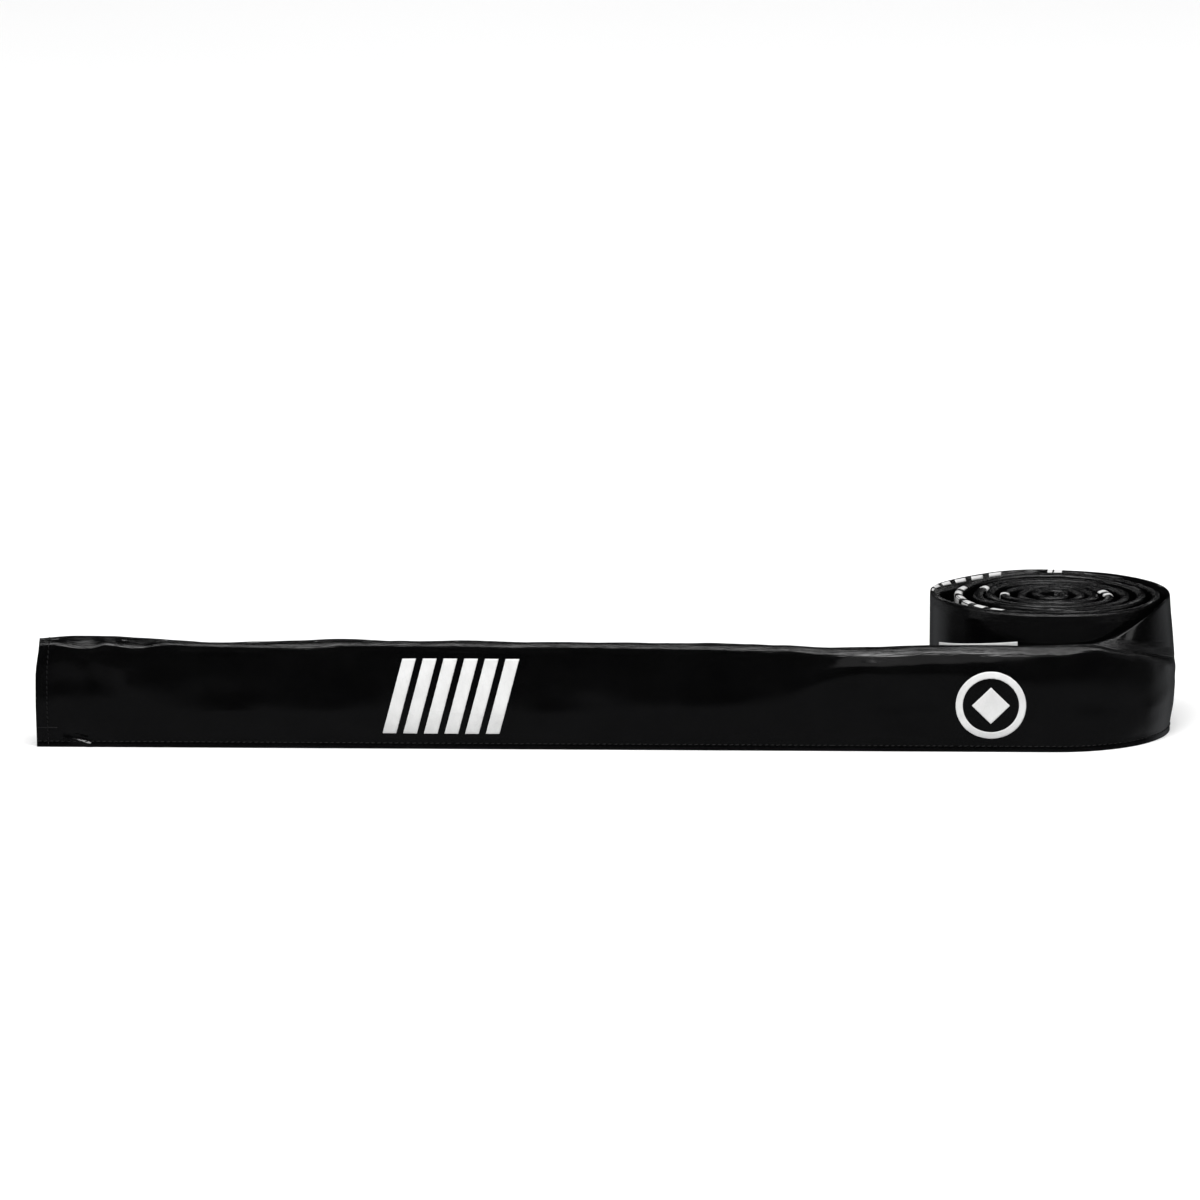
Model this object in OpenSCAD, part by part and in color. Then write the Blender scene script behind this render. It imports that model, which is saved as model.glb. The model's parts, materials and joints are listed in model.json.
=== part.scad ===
// Boxing-ring rope cover: a flat vinyl sleeve, folded lengthwise and sewn along its lower edge.
// Most of it is rolled into a coil that stands on edge; the outer end runs out straight to an open mouth.
// +Z is up, +X runs from the mouth to the coil, and Z = 0 is the surface that it stands on.

/* [Vinyl] */
// Thickness of the vinyl sheet
wall = 0.7; // [0.5:0.1:0.9]
// Height of the seam margin, where the two walls are sewn together
margin_h = 5; // [4:0.5:7]

/* [Coil] */
// Height of the sleeve where it is pressed flat in the coil
coil_h = 80; // [76:1:90]
// Thickness of the sleeve in the coil
coil_t = 5.4; // [4:0.1:5.6]
// Distance between neighbouring turns
pitch = 9; // [8.6:0.1:9.4]
// Radius of the middle of the sleeve at the start of the outermost turn
coil_r = 69.3; // [68:0.1:72]
// Number of half turns in the coil
half_turns = 15; // [11:2:15]

/* [Tail] */
// Length of the straight run, from the mouth to the coil's front
tail_len = 608; // [590:1:640]
// Height of the sleeve in the tail, where it stands a little open
tail_h = 65; // [62:1:70]
// Thickness of the sleeve in the tail
tail_t = 18; // [14:1:20]
// Largest angle that each bend line takes, either way
bend_angle = 45; // [20:5:45]
// Depth of the hem that is turned in at each end of the sleeve
hem_depth = 9; // [7:1:12]

/* [Print and thread] */
// Thickness of the printed marks
print_t = 0.15; // [0.1:0.05:0.3]
// How far the thread stands out of the vinyl
thread_t = 0.25; // [0.2:0.05:0.4]
// Width of a row of stitches
thread_w = 0.5; // [0.4:0.1:0.8]
// Width of the group of slanted stripes
stripes_w = 86; // [70:1:95]
// Height of the stripes
stripes_h = 46; // [36:1:48]
// Outside diameter of the round badge
badge_d = 42; // [36:1:44]

/* [Hidden] */
$fn = 64;
TURNS = 8;
SEGMENTS = 4;

VINYL = "#101113";
THREAD = "#1c1c1e";
INK = "#f2f2f0";

coil_half = coil_t / 2;
tail_half = tail_t / 2;
coil_crown = coil_h - coil_half;   // height of the centre of the round fold
tail_crown = tail_h - tail_half;
coil_taper = 14;                   // the walls start to close towards the seam below this height
tail_taper = 20;
foot_inner = 0.1;                  // half width of the hollow where it ends above the seam margin

// The origin is under the middle of the whole object's box.
length = tail_len + coil_r + coil_half;
mouth_x = -length / 2;
coil_x = mouth_x + tail_len;
front = coil_r + tail_half + print_t;
back = coil_r + coil_half;
coil_y = (front - back) / 2;
tail_y = coil_y - coil_r;

// Bend lines, as distances from the mouth, from the coil outwards; the last one is the mouth itself.
bend_at = [525, 425, 325, 175, 0];
loft_start = 545;                  // the sleeve starts to flatten here, towards the coil
turn_half = 4.5;                   // half thickness where the lead-out meets the round of the coil
rise_angle = 75;                   // the sleeve rises to its full height over this much of the first turn
rise_steps = 10;
fold_steps = 16;
bend_slope = tan(bend_angle / 2);
bend_gap = 0.3;                    // clearance between neighbouring segments and round each lap
lap_foot = 16;                     // lowest point of the lap inside the next segment
lap_anchor = 6;                    // length over which the lap is one with its own wall
way_half = 5.5;                    // half width of the way left open through each lap
way_low = 27;
reach = 14;                        // more than half the sleeve's thickness, for cutting shapes
eps = 0.02;

stripes_from = 207;                // distance of the stripes from the mouth
stripes_foot = 10;                 // height of the stripes' lower edge
badge_from_mouth = 570;
badge_z = 30;

// ---- sections of the sleeve: X is across its thickness, Y is height ----

// The outline above the seam margin: a round fold on top, flat walls, then a taper to the seam.
// The fold's disc reaches down by below, into the walls.
module bag(half, crown, taper, foot_half, foot, below = 0) {
    translate([0, crown]) intersection() {
        circle(r = half);
        translate([-half, -below]) square([2 * half, half + below]);
    }
    polygon([[-half, crown], [half, crown], [half, taper], [foot_half, foot], [-foot_half, foot], [-half, taper]]);
}

module coil_bag(grow = 0)
    bag(coil_half + grow, coil_crown, coil_taper, wall + grow, margin_h, below = coil_half + grow);
module tail_bag(grow = 0) bag(tail_half + grow, tail_crown, tail_taper, wall + grow, margin_h);
module coil_hollow(shrink = 0)
    bag(coil_half - wall - shrink, coil_crown, coil_taper, foot_inner, margin_h + 1 + shrink,
        below = coil_half - wall - shrink);
module tail_hollow(shrink = 0)
    bag(tail_half - wall - shrink, tail_crown, tail_taper, foot_inner, margin_h + 1 + 2 * shrink);
module margin_strip() translate([-wall, 0]) square([2 * wall, margin_h]);

module coil_section() difference() {
    union() { coil_bag(); margin_strip(); }
    coil_hollow();
}
module tail_section() difference() {
    union() { tail_bag(); margin_strip(); }
    tail_hollow();
}

// ---- placing ----

// Runs a section along X between two distances from the mouth.
module along_tail(from, to)
    translate([mouth_x + from, tail_y, 0]) rotate([90, 0, 90]) linear_extrude(to - from) children();

function arc_r(k) = coil_r - k * pitch / 2;

// Sweeps a section round half turn k of the coil, between two angles of its 180 degrees.
module round_coil(k, from = 0, to = 180)
    translate([coil_x, coil_y + (k % 2) * pitch / 2, 0])
        rotate([0, 0, (k % 2 == 0 ? -90 : 90) + from])
            rotate_extrude(angle = to - from) translate([arc_r(k), 0]) children();

// Sends a flat mark through the tail's front wall: X is the distance from the mouth, Y is height.
module onto_front() translate([mouth_x, tail_y, 0]) rotate([90, 0, 0]) linear_extrude(reach) children();

// ---- flat marks ----

// Six slanted stripes, starting at X = 0 and Y = 0.
module stripes(height = stripes_h) {
    count = 6;
    slant = 12;
    step = (stripes_w - slant) / count;
    bar = step * 0.66;
    for (i = [0:count - 1])
        translate([i * step, 0]) polygon([[0, 0], [bar, 0], [bar + slant, height], [slant, height]]);
}

// A ring round a diamond, centred on the origin.
module badge() {
    ring = badge_d * 0.1;
    diamond = badge_d * 0.27;
    difference() {
        circle(d = badge_d);
        circle(d = badge_d - 2 * ring);
    }
    polygon([[diamond, 0], [0, diamond], [-diamond, 0], [0, -diamond]]);
}

// ---- the coil ----

module coil_turn(n) color(VINYL) {
    first = 2 * n - 2;
    last = min(2 * n - 1, half_turns - 1);
    for (k = [first:last]) round_coil(k, k == 0 ? rise_angle : 0, k == last && k == first ? 90 : 180) coil_section();
    if (first == last) round_coil(first, 90, 180) coil_section();
}

// The outline of bag() as points, for the skins that change from one section to another.
function bag_points(half, crown, taper, foot_half, foot) = concat(
    [[foot_half, foot], [half, taper]],
    [for (i = [0:fold_steps]) half * [cos(180 * i / fold_steps), sin(180 * i / fold_steps)] + [0, crown]],
    [[-half, taper], [-foot_half, foot]]);

function between(a, b, part) = a + (b - a) * part;

// One section of the lead-out: place, heading, half thickness, height of the fold's centre, height of the taper.
function straight_station(d, half) = [[mouth_x + d, tail_y], 0, half, tail_h - half, tail_taper];
function round_station(part) =
    let (a = part * rise_angle, half = between(turn_half, coil_half, part))
    [[coil_x + coil_r * sin(a), coil_y - coil_r * cos(a)], a, half,
        between(tail_h - turn_half, coil_crown, part), between(tail_taper, coil_taper, part)];

function stations(over) = concat(
    [straight_station(bend_at[0] - over, tail_half), straight_station(loft_start, tail_half)],
    [for (i = [0:rise_steps]) round_station(i / rise_steps)],
    over > 0 ? [round_station(1 + over / 100)] : []);

// The points of one station, its outline grown outwards by grow, or the hollow's outline.
function station_points(st, hollow, grow) =
    let (o = hollow ? bag_points(st[2] - wall, st[3], st[4], foot_inner, margin_h + 1)
                    : concat(bag_points(st[2] + grow, st[3], st[4], wall + grow, margin_h),
                        [[-wall - grow, 0], [wall + grow, 0]]))
    [for (p = o) [st[0].x + p.x * sin(st[1]), st[0].y - p.x * cos(st[1]), p.y]];

// A closed skin through the stations of the lead-out.
module skin(places, hollow = false, grow = 0) {
    rings = [for (st = places) station_points(st, hollow, grow)];
    n = len(rings[0]);
    last = len(rings) - 1;
    sides = [for (i = [0:last - 1]) for (j = [0:n - 1])
        [i * n + j, i * n + (j + 1) % n, (i + 1) * n + (j + 1) % n, (i + 1) * n + j]];
    ends = [[for (j = [n - 1:-1:0]) j], [for (j = [0:n - 1]) last * n + j]];
    polyhedron([for (r = rings) each r], concat(sides, ends), convexity = 6);
}

module lead_out() color(VINYL) difference() {
    skin(stations(0));
    skin(stations(1), hollow = true);
    bend_cut(bend_at[0], 1);
}

module inner_end_hem() color(VINYL)
    for (from = [96, 137]) round_coil(half_turns - 1, from, from + 41) difference() {
        coil_hollow();
        coil_hollow(wall);
    }

// One row of stitches on each face of the seam margin.
module seam_rows() for (side = [-1, 1])
    translate([side * (wall + thread_t / 2) - thread_t / 2, margin_h * 0.6]) square([thread_t, thread_w]);

module coil_seam_thread() color(THREAD)
    for (k = [0:half_turns - 1]) round_coil(k, k == 0 ? rise_angle + 1 : 1, 179) seam_rows();

module inner_end_stitching() color(THREAD)
    round_coil(half_turns - 1, 118, 123) difference() {
        coil_bag(thread_t);
        coil_bag();
    }

module lead_out_seam_thread() color(THREAD)
    along_tail(bend_at[0] + 1, tail_len - 1) seam_rows();

// A group of stripes round one half turn, each one sent outwards at its own angle.
module stripes_round(k, at, height) {
    count = 6;
    bar = 8;
    step = 12.3;
    turn = step / arc_r(k) * 180 / PI;
    for (i = [0:count - 1])
        round_coil(k, at + i * turn, at + i * turn + bar / arc_r(k) * 180 / PI) intersection() {
            difference() {
                coil_bag(print_t);
                coil_bag();
            }
            translate([0, height[0]]) square([reach, height[1] - height[0]]);
        }
}

module coil_stripes_outer() color(INK) stripes_round(1, 28, [36, coil_h + 1]);
module coil_stripes_inner() color(INK) stripes_round(3, 74, [36, coil_h + 1]);

// The outline of the lead-out's straight part, which carries the badge.
module flattening(grow = 0) hull() {
    along_tail(loft_start, loft_start + eps) tail_bag(grow);
    along_tail(tail_len - eps, tail_len)
        bag(turn_half + grow, tail_h - turn_half, tail_taper, wall + grow, margin_h);
}

module lead_out_badge() color(INK) intersection() {
    difference() {
        flattening(print_t);
        flattening();
    }
    onto_front() translate([badge_from_mouth, badge_z]) badge();
}

// ---- the tail ----

// What a segment must leave free at a bend line: side is 1 for the segment nearer to the coil, -1 for the other.
module bend_cut(at, side) {
    corner = bend_gap + reach * bend_slope;
    translate([mouth_x + at, tail_y, -1]) linear_extrude(coil_h + 2)
        polygon([for (p = [[-reach, -reach], [corner, -reach], [bend_gap, 0], [corner, reach], [-reach, reach]])
            [side * p.x, p.y]]);
}

module lap_ring() difference() {
    tail_hollow(bend_gap);
    tail_hollow(bend_gap + wall);
    translate([-reach, 0]) square([2 * reach, lap_foot]);
}

// The skin reaches inside the next segment, round the bend line, so that the sleeve stays closed as it bends.
module lap(at) difference() {
    union() {
        translate([mouth_x + at, tail_y, 0]) rotate([0, 0, -90]) rotate_extrude(angle = 180)
            intersection() {
                lap_ring();
                translate([0, 0]) square([reach, tail_h]);
            }
        along_tail(at - lap_anchor - 5, at) lap_ring();
        along_tail(at - lap_anchor - 5, at - 5) difference() {
            tail_hollow();
            tail_hollow(bend_gap + wall);
            translate([-reach, 0]) square([2 * reach, lap_foot]);
        }
    }
    translate([mouth_x + at - reach, tail_y - way_half, way_low])
        cube([2 * reach, 2 * way_half, tail_crown - way_low]);
}

module tail_sleeve(n) color(VINYL) {
    difference() {
        along_tail(bend_at[n], bend_at[n - 1]) tail_section();
        bend_cut(bend_at[n - 1], -1);
        if (n < SEGMENTS) bend_cut(bend_at[n], 1);
    }
    lap(bend_at[n - 1]);
}

module tail_seam_thread(n) color(THREAD)
    along_tail(bend_at[n] + 1, bend_at[n - 1] - 1) seam_rows();

// A thin layer over the outside of the tail, between two distances from the mouth.
module tail_layer(from, to, thick) along_tail(from, to) difference() {
    tail_bag(thick);
    tail_bag();
}

module tail_stripes() color(INK) intersection() {
    tail_layer(stripes_from - 1, stripes_from + stripes_w + 1, print_t);
    onto_front() translate([stripes_from, stripes_foot]) stripes();
}

module mouth_hem() color(VINYL)
    for (from = [0, hem_depth / 2]) along_tail(from, from + hem_depth / 2) difference() {
        tail_hollow();
        tail_hollow(wall);
    }

module mouth_stitching() color(THREAD)
    for (from = [hem_depth - 2, hem_depth - 2 + thread_w / 2]) tail_layer(from, from + thread_w / 2, thread_t);

// The corner tack runs in from the mouth on both sides of the hem's stitching.
module mouth_corner_tack() color(THREAD) intersection() {
    for (ends = [[0.5, hem_depth - 2.3], [hem_depth - 1.2, hem_depth + 4]])
        tail_layer(ends[0], ends[1], thread_t);
    translate([mouth_x, tail_y - reach, 12.4]) cube([hem_depth + 5, 2 * reach, thread_w]);
}

for (n = [1:TURNS]) coil_turn(n);
lead_out();
inner_end_hem();
inner_end_stitching();
coil_seam_thread();
lead_out_seam_thread();
coil_stripes_outer();
coil_stripes_inner();
lead_out_badge();
for (n = [1:SEGMENTS]) tail_sleeve(n);
for (n = [1:SEGMENTS]) tail_seam_thread(n);
tail_stripes();
mouth_hem();
mouth_stitching();
mouth_corner_tack();
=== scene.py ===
"""Looks of a boxing-ring rope cover: the vinyl sleeve, its sewing and its print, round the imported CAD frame.

Sizes are in millimetres, and MM turns them into the frame's metres. s is the distance along the sleeve from
its open mouth. A section of the sleeve is a row of points (a, z): a is measured outwards from the sleeve's
middle, and z is the height above the ground.
"""

import json
from math import pi, radians

import bpy
import numpy as np
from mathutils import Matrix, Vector, noise

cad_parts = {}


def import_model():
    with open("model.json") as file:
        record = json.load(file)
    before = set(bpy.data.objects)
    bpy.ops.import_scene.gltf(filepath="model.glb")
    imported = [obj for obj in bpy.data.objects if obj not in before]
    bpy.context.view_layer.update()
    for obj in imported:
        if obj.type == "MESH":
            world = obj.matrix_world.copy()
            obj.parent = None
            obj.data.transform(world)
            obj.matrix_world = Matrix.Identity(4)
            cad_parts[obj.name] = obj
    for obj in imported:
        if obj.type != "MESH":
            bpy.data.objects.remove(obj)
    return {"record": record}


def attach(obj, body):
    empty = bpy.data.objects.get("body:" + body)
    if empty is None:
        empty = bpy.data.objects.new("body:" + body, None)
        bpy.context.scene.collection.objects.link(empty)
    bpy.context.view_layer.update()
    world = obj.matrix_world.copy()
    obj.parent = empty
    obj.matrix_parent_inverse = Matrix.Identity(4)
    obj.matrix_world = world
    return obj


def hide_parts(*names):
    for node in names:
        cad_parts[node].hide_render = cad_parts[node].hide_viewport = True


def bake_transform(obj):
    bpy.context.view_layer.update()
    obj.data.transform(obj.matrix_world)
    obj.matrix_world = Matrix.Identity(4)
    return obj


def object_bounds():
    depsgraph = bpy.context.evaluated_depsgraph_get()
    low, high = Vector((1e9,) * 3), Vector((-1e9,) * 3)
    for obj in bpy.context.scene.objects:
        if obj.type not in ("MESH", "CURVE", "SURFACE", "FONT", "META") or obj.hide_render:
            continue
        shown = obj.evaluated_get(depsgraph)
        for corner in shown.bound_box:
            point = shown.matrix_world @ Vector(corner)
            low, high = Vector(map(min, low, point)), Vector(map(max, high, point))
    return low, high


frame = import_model()
cad_low, cad_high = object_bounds()

# ---- sizes from the frame ----

MM = 0.001
COIL_R = 69.3  # middle of the sleeve at the start of the outermost turn
COIL_HALF = 2.7  # half the sleeve's thickness there
PITCH = 9.0  # from one turn to the next
HALF_TURNS = 15  # the spiral is built of half circles, each smaller than the one before
MARGIN_H = 5.0  # sewn margin along the lower edge
SEAM_Z = 3.4  # height of the row of stitches in it

BENDS = {j["name"]: Vector(j["pos_m"]) / MM for j in frame["record"]["behaviour"]["joints"]}
MOUTH_X = cad_low.x / MM
TAIL_Y = BENDS["bend_1"].y
COIL_X = cad_high.x / MM - COIL_R - COIL_HALF
COIL_Y = TAIL_Y + COIL_R
TAIL_LEN = COIL_X - MOUTH_X

ARC_R = np.array([COIL_R - k * PITCH / 2 for k in range(HALF_TURNS)])
ARC_START = TAIL_LEN + pi * np.concatenate([[0.0], np.cumsum(ARC_R)])
SLEEVE_LEN = float(ARC_START[-1])
VINYL_T = 0.7  # thickness of the vinyl
LIP = 0.04  # half the gap between the two layers at the very bottom
LIP_Z = 0.35

# The straight stretch in one piece for each bend, from s to s, and the coil from COIL_CUT on.
SLEEVE_CUTS = [
    ("bend_4", 0.0, 250.0),
    ("bend_3", 250.0, 375.0),
    ("bend_2", 375.0, 475.0),
    ("bend_1", 475.0, 550.0),
]
COIL_CUT = SLEEVE_CUTS[-1][2]


# ---- curves along the sleeve ----


def ease(t):
    """0 below 0, 1 above 1 and a smooth step between."""
    t = np.clip(t, 0.0, 1.0)
    return t * t * (3 - 2 * t)


def bell(distance, width):
    """1 where the distance is 0, falling smoothly to nothing beyond the width."""
    return np.exp(-((distance / width) ** 2))


def along(s, stations):
    """A smooth curve through given stations (s, value), level beyond both ends."""
    xs = np.array([p[0] for p in stations], float)
    ys = np.array([p[1] for p in stations], float)
    slope = np.gradient(ys, xs)
    slope[0] = slope[-1] = 0.0
    steps = np.diff(ys) / np.diff(xs)
    for i in range(1, len(xs) - 1):  # no overshoot at a high or low station
        if steps[i - 1] * steps[i] <= 0:
            slope[i] = 0.0
    i = np.clip(np.searchsorted(xs, s, side="right") - 1, 0, len(xs) - 2)
    h = xs[i + 1] - xs[i]
    t = np.clip((s - xs[i]) / h, 0.0, 1.0)
    return (
        (2 * t**3 - 3 * t**2 + 1) * ys[i]
        + (t**3 - 2 * t**2 + t) * h * slope[i]
        + (3 * t**2 - 2 * t**3) * ys[i + 1]
        + (t**3 - t**2) * h * slope[i + 1]
    )


def centre_line(s):
    """Middle of the sleeve (x, y) and its heading: 0 faces -Y, and it grows as the sleeve winds inwards."""
    k = np.clip(np.searchsorted(ARC_START, s, side="right") - 1, 0, HALF_TURNS - 1)
    r = ARC_R[k]
    straight = s < TAIL_LEN
    heading = np.where(straight, 0.0, pi * k + (s - ARC_START[k]) / r)
    x = np.where(straight, MOUTH_X + s, COIL_X + r * np.sin(heading))
    y = np.where(straight, TAIL_Y, COIL_Y + (k % 2) * PITCH / 2 - r * np.cos(heading))
    return x, y, heading


def s_at(heading_deg):
    """Distance along the sleeve at a heading in the coil."""
    k = min(int(heading_deg // 180), HALF_TURNS - 1)
    return float(ARC_START[k] + ARC_R[k] * radians(heading_deg - 180 * k))


# ---- section of the sleeve ----

# Corners of a section, front to back. Each is a curve along s for a, for z and for how round the corner is, as
# the millimetres that the rounding takes from the edges on both sides of it. The front wall bulges most at its
# wall corner, and the crease is above that. Behind the top fold comes the back corner. The low corners are in
# the lower part of both walls.
CREASE_Z = [
    (0, 63.6), (8, 64.0), (24, 61.6), (33, 61.4), (42, 63.6), (52, 62.4), (62, 61.6), (74, 64.0), (95, 64.2),
    (120, 63.6), (150, 63.0), (164, 62.4), (182, 64.6), (240, 64.8), (300, 64.4), (360, 64.6), (410, 64.2),
    (444, 63.6), (470, 62.2), (506, 62.6), (545, 63.4), (608, 63.2), (s_at(14), 63.4), (s_at(29), 58.8),
    (s_at(46), 54.3), (s_at(65), 48.5), (s_at(90), 43.0), (s_at(125), 52.0), (s_at(170), 79.0),
    (s_at(300), 81.2),
]
CREASE_A = [
    (0, 6.4), (22, 7.8), (60, 7.2), (90, 5.4), (134, 4.8), (200, 4.4), (400, 4.2), (460, 4.4), (506, 4.1),
    (545, 3.5), (575, 2.8), (608, 2.4), (s_at(14), 2.6), (s_at(29), 4.6), (s_at(46), 5.0), (s_at(65), 4.2),
    (s_at(90), 3.3), (s_at(125), 2.9), (s_at(170), 2.75),
]
TOP_Z = [
    (0, 66.0), (7, 66.4), (25, 67.7), (38, 67.7), (59, 66.6), (87, 65.5), (105, 64.5), (134, 64.6),
    (158, 65.4), (182, 66.2), (206, 65.8), (278, 65.7), (314, 65.4), (374, 65.1), (422, 64.7), (446, 64.3),
    (470, 63.4), (506, 64.0), (542, 64.8), (608, 64.8), (s_at(18), 64.6), (s_at(30), 67.2), (s_at(40), 71.3),
    (s_at(54), 77.0), (s_at(68), 81.6), (s_at(84), 82.9), (s_at(200), 82.8), (s_at(900), 82.0),
]
TOP_A = [(0, -0.5), (90, -1.0), (440, -1.2), (560, -1.5), (608, -1.6), (s_at(40), -1.2), (s_at(90), 0.0)]
WALL_Z = [
    (0, 36), (26, 41), (52, 33), (84, 27), (120, 33), (170, 25), (230, 31), (300, 26), (350, 31), (400, 30),
    (436, 32.0), (459, 42.0), (481, 49.6), (508, 51.7), (545, 52.0), (590, 50.8), (s_at(12), 48.0),
    (s_at(40), 38.0), (s_at(90), 26.0), (s_at(170), 40.0),
]
WALL_A = [
    (0, 9.6), (60, 9.4), (130, 8.9), (400, 8.7), (459, 8.8), (508, 9.0), (560, 8.7), (608, 7.7),
    (s_at(40), 5.6), (s_at(90), 3.5), (s_at(170), 2.9),
]
WALL_ROUND = [(0, 14), (425, 14), (450, 7), (481, 3.5), (520, 4), (570, 6), (s_at(8), 14)]
CREASE_ROUND = [
    (0, 1.6), (100, 1.8), (140, 2.4), (300, 2.6), (470, 4), (s_at(2), 6), (s_at(16), 2.0), (s_at(46), 1.4),
    (s_at(70), 2.4), (s_at(90), 6), (s_at(150), 3), (s_at(260), 1.3),
]
# One more corner between the crease and the top: how far up from the crease, and how far it is pressed in.
LEDGE_UP = [(0, 5), (s_at(0), 6), (s_at(14), 2.2), (s_at(80), 2.2), (s_at(100), 4)]
LEDGE_IN = [(0, 0), (s_at(3), 0), (s_at(14), 0.9), (s_at(24), 1.3), (s_at(60), 1.2), (s_at(84), 0)]
TOP_ROUND = [(0, 2.5), (470, 3), (s_at(10), 2.4), (s_at(28), 3.2), (s_at(60), 3.2), (s_at(100), 2.2)]
BACK_A = [
    (0, -9.4), (90, -9.0), (200, -8.0), (420, -7.8), (520, -8.2), (570, -6.2), (608, -5.0), (s_at(90), -2.9),
]
BACK_Z = [
    (0, 56), (120, 54), (500, 52), (608, 56), (s_at(30), 60), (s_at(70), 76), (s_at(100), 78.5),
    (s_at(260), 81.0),
]
BACK_ROUND = [(0, 12), (s_at(20), 12), (s_at(110), 3), (s_at(260), 1.3)]
LOW_A = [(0, 7.6), (400, 7.0), (540, 6.8), (608, 5.2), (s_at(60), 3.4), (s_at(100), 2.75)]
LOW_Z = [(0, 19), (560, 18), (s_at(100), 15)]

TOP_CORNER = 7  # its place in the list of corners
CORNER_SAMPLES = 7
EDGE_SAMPLES = 5
LEVEL_Z = 30.0  # points below this height stay where they are when the fold is raised


def turn_waver(s):
    """How unevenly the coil is wound: a shift outwards, in millimetres, from where it first flattens."""
    turned = np.maximum(s - s_at(90), 0.0)
    fade = ease(turned / 120.0) * ease((SLEEVE_LEN - s) / 60.0)
    wave = 0.5 * np.sin(turned / 31.0 + 0.7) + 0.4 * np.sin(turned / 17.3 + 2.1) + 0.3 * np.sin(turned / 9.1)
    loose = 6.6 * bell(s - s_at(266), 66.0) + 1.4 * bell(s - s_at(626), 60.0)
    return fade * wave + loose


def turn_swell(s):
    """How much thicker or thinner the coil's sleeve is, in millimetres on each side."""
    fade = ease((s - s_at(120)) / 100.0)
    return fade * (0.28 * np.sin(s / 23.0) + 0.22 * np.sin(s / 11.9 + 1.0) - 0.1)


def section_corners(s):
    """Corners and their roundness at every station: arrays [station, corner, 2] and [station, corner]."""
    one = np.ones_like(s)
    swell = turn_swell(s)
    settle = ease((s - s_at(120)) / 150.0)  # the coil's folds are uneven in height, and lean in and out
    bob = settle * (0.5 * np.sin(s / 37.0) + 0.35 * np.sin(s / 14.7 + 0.4))
    lean = settle * 0.7 * np.sin(s / 19.0 + 1.3)
    low_a = along(s, LOW_A) + swell * 0.6
    low_z = along(s, LOW_Z)
    back_a = along(s, BACK_A) - swell
    back_z = along(s, BACK_Z)
    crease_a = along(s, CREASE_A) + swell
    crease_z = along(s, CREASE_Z) + bob
    top_a = along(s, TOP_A) + lean
    top_z = along(s, TOP_Z) + bob
    crease = np.stack([crease_a, crease_z], 1)
    rise = np.stack([top_a - crease_a, top_z - crease_z], 1)
    share = np.minimum(along(s, LEDGE_UP) / np.linalg.norm(rise, axis=1), 0.55)
    ledge = crease + rise * share[:, None]
    corners = [
        (LIP * one, LIP_Z * one, 0),
        (VINYL_T * one, 0.0 * one, 0.25),
        ((VINYL_T + 0.05) * one, MARGIN_H * one, 1.2),
        (low_a, low_z, 9),
        (along(s, WALL_A) + swell, along(s, WALL_Z), along(s, WALL_ROUND)),
        (crease_a, crease_z, along(s, CREASE_ROUND)),
        (ledge[:, 0] - along(s, LEDGE_IN), ledge[:, 1], 0.4),
        (top_a, top_z, along(s, TOP_ROUND)),
        (back_a, back_z + bob, along(s, BACK_ROUND)),
        (-low_a, low_z, 9),
        (-(VINYL_T + 0.05) * one, MARGIN_H * one, 1.2),
        (-VINYL_T * one, 0.0 * one, 0.25),
        (-LIP * one, LIP_Z * one, 0),
    ]
    points = np.stack([np.stack([a, z], 1) for a, z, _ in corners], 1)
    roundness = np.stack([r * one for _, _, r in corners], 1)
    return points, roundness


def part_of(edge, reach, other_reach):
    """The share of an edge that a rounding takes: the roundings at both its ends fit in it together."""
    length = np.maximum(np.linalg.norm(edge, axis=-1, keepdims=True), 1e-6)
    return np.minimum(reach / length, 0.94 * reach / np.maximum(reach + other_reach, 1e-6))


def section_rows(s):
    """Rounds the corners into one row of section points for each station: array [station, point, 2]."""
    corners, roundness = section_corners(s)
    count = corners.shape[1]
    row = [corners[:, 0]]
    last = corners[:, 0]
    for i in range(1, count - 1):
        here, before, after = corners[:, i], corners[:, i - 1], corners[:, i + 1]
        reach = roundness[:, i, None]
        start = here + (before - here) * part_of(before - here, reach, roundness[:, i - 1, None])
        end = here + (after - here) * part_of(after - here, reach, roundness[:, i + 1, None])
        for t in np.linspace(0, 1, EDGE_SAMPLES + 2)[1:-1]:
            row.append(last + (start - last) * t)
        for t in np.linspace(0, 1, CORNER_SAMPLES):
            row.append((1 - t) ** 2 * start + 2 * t * (1 - t) * here + t * t * end)
        last = end
    for t in np.linspace(0, 1, EDGE_SAMPLES + 2)[1:]:
        row.append(last + (corners[:, -1] - last) * t)
    rows = np.stack(row, 1)
    # Rounding lowers the fold, so the upper part is raised until the fold has its height again.
    top = rows[:, :, 1].max(1, keepdims=True)
    wanted = corners[:, TOP_CORNER, 1][:, None]
    rows[:, :, 1] += (wanted - top) * ease((rows[:, :, 1] - LEVEL_Z) / (top - LEVEL_Z))
    return rows


# ---- creases and dents that belong to this one sleeve ----

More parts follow.
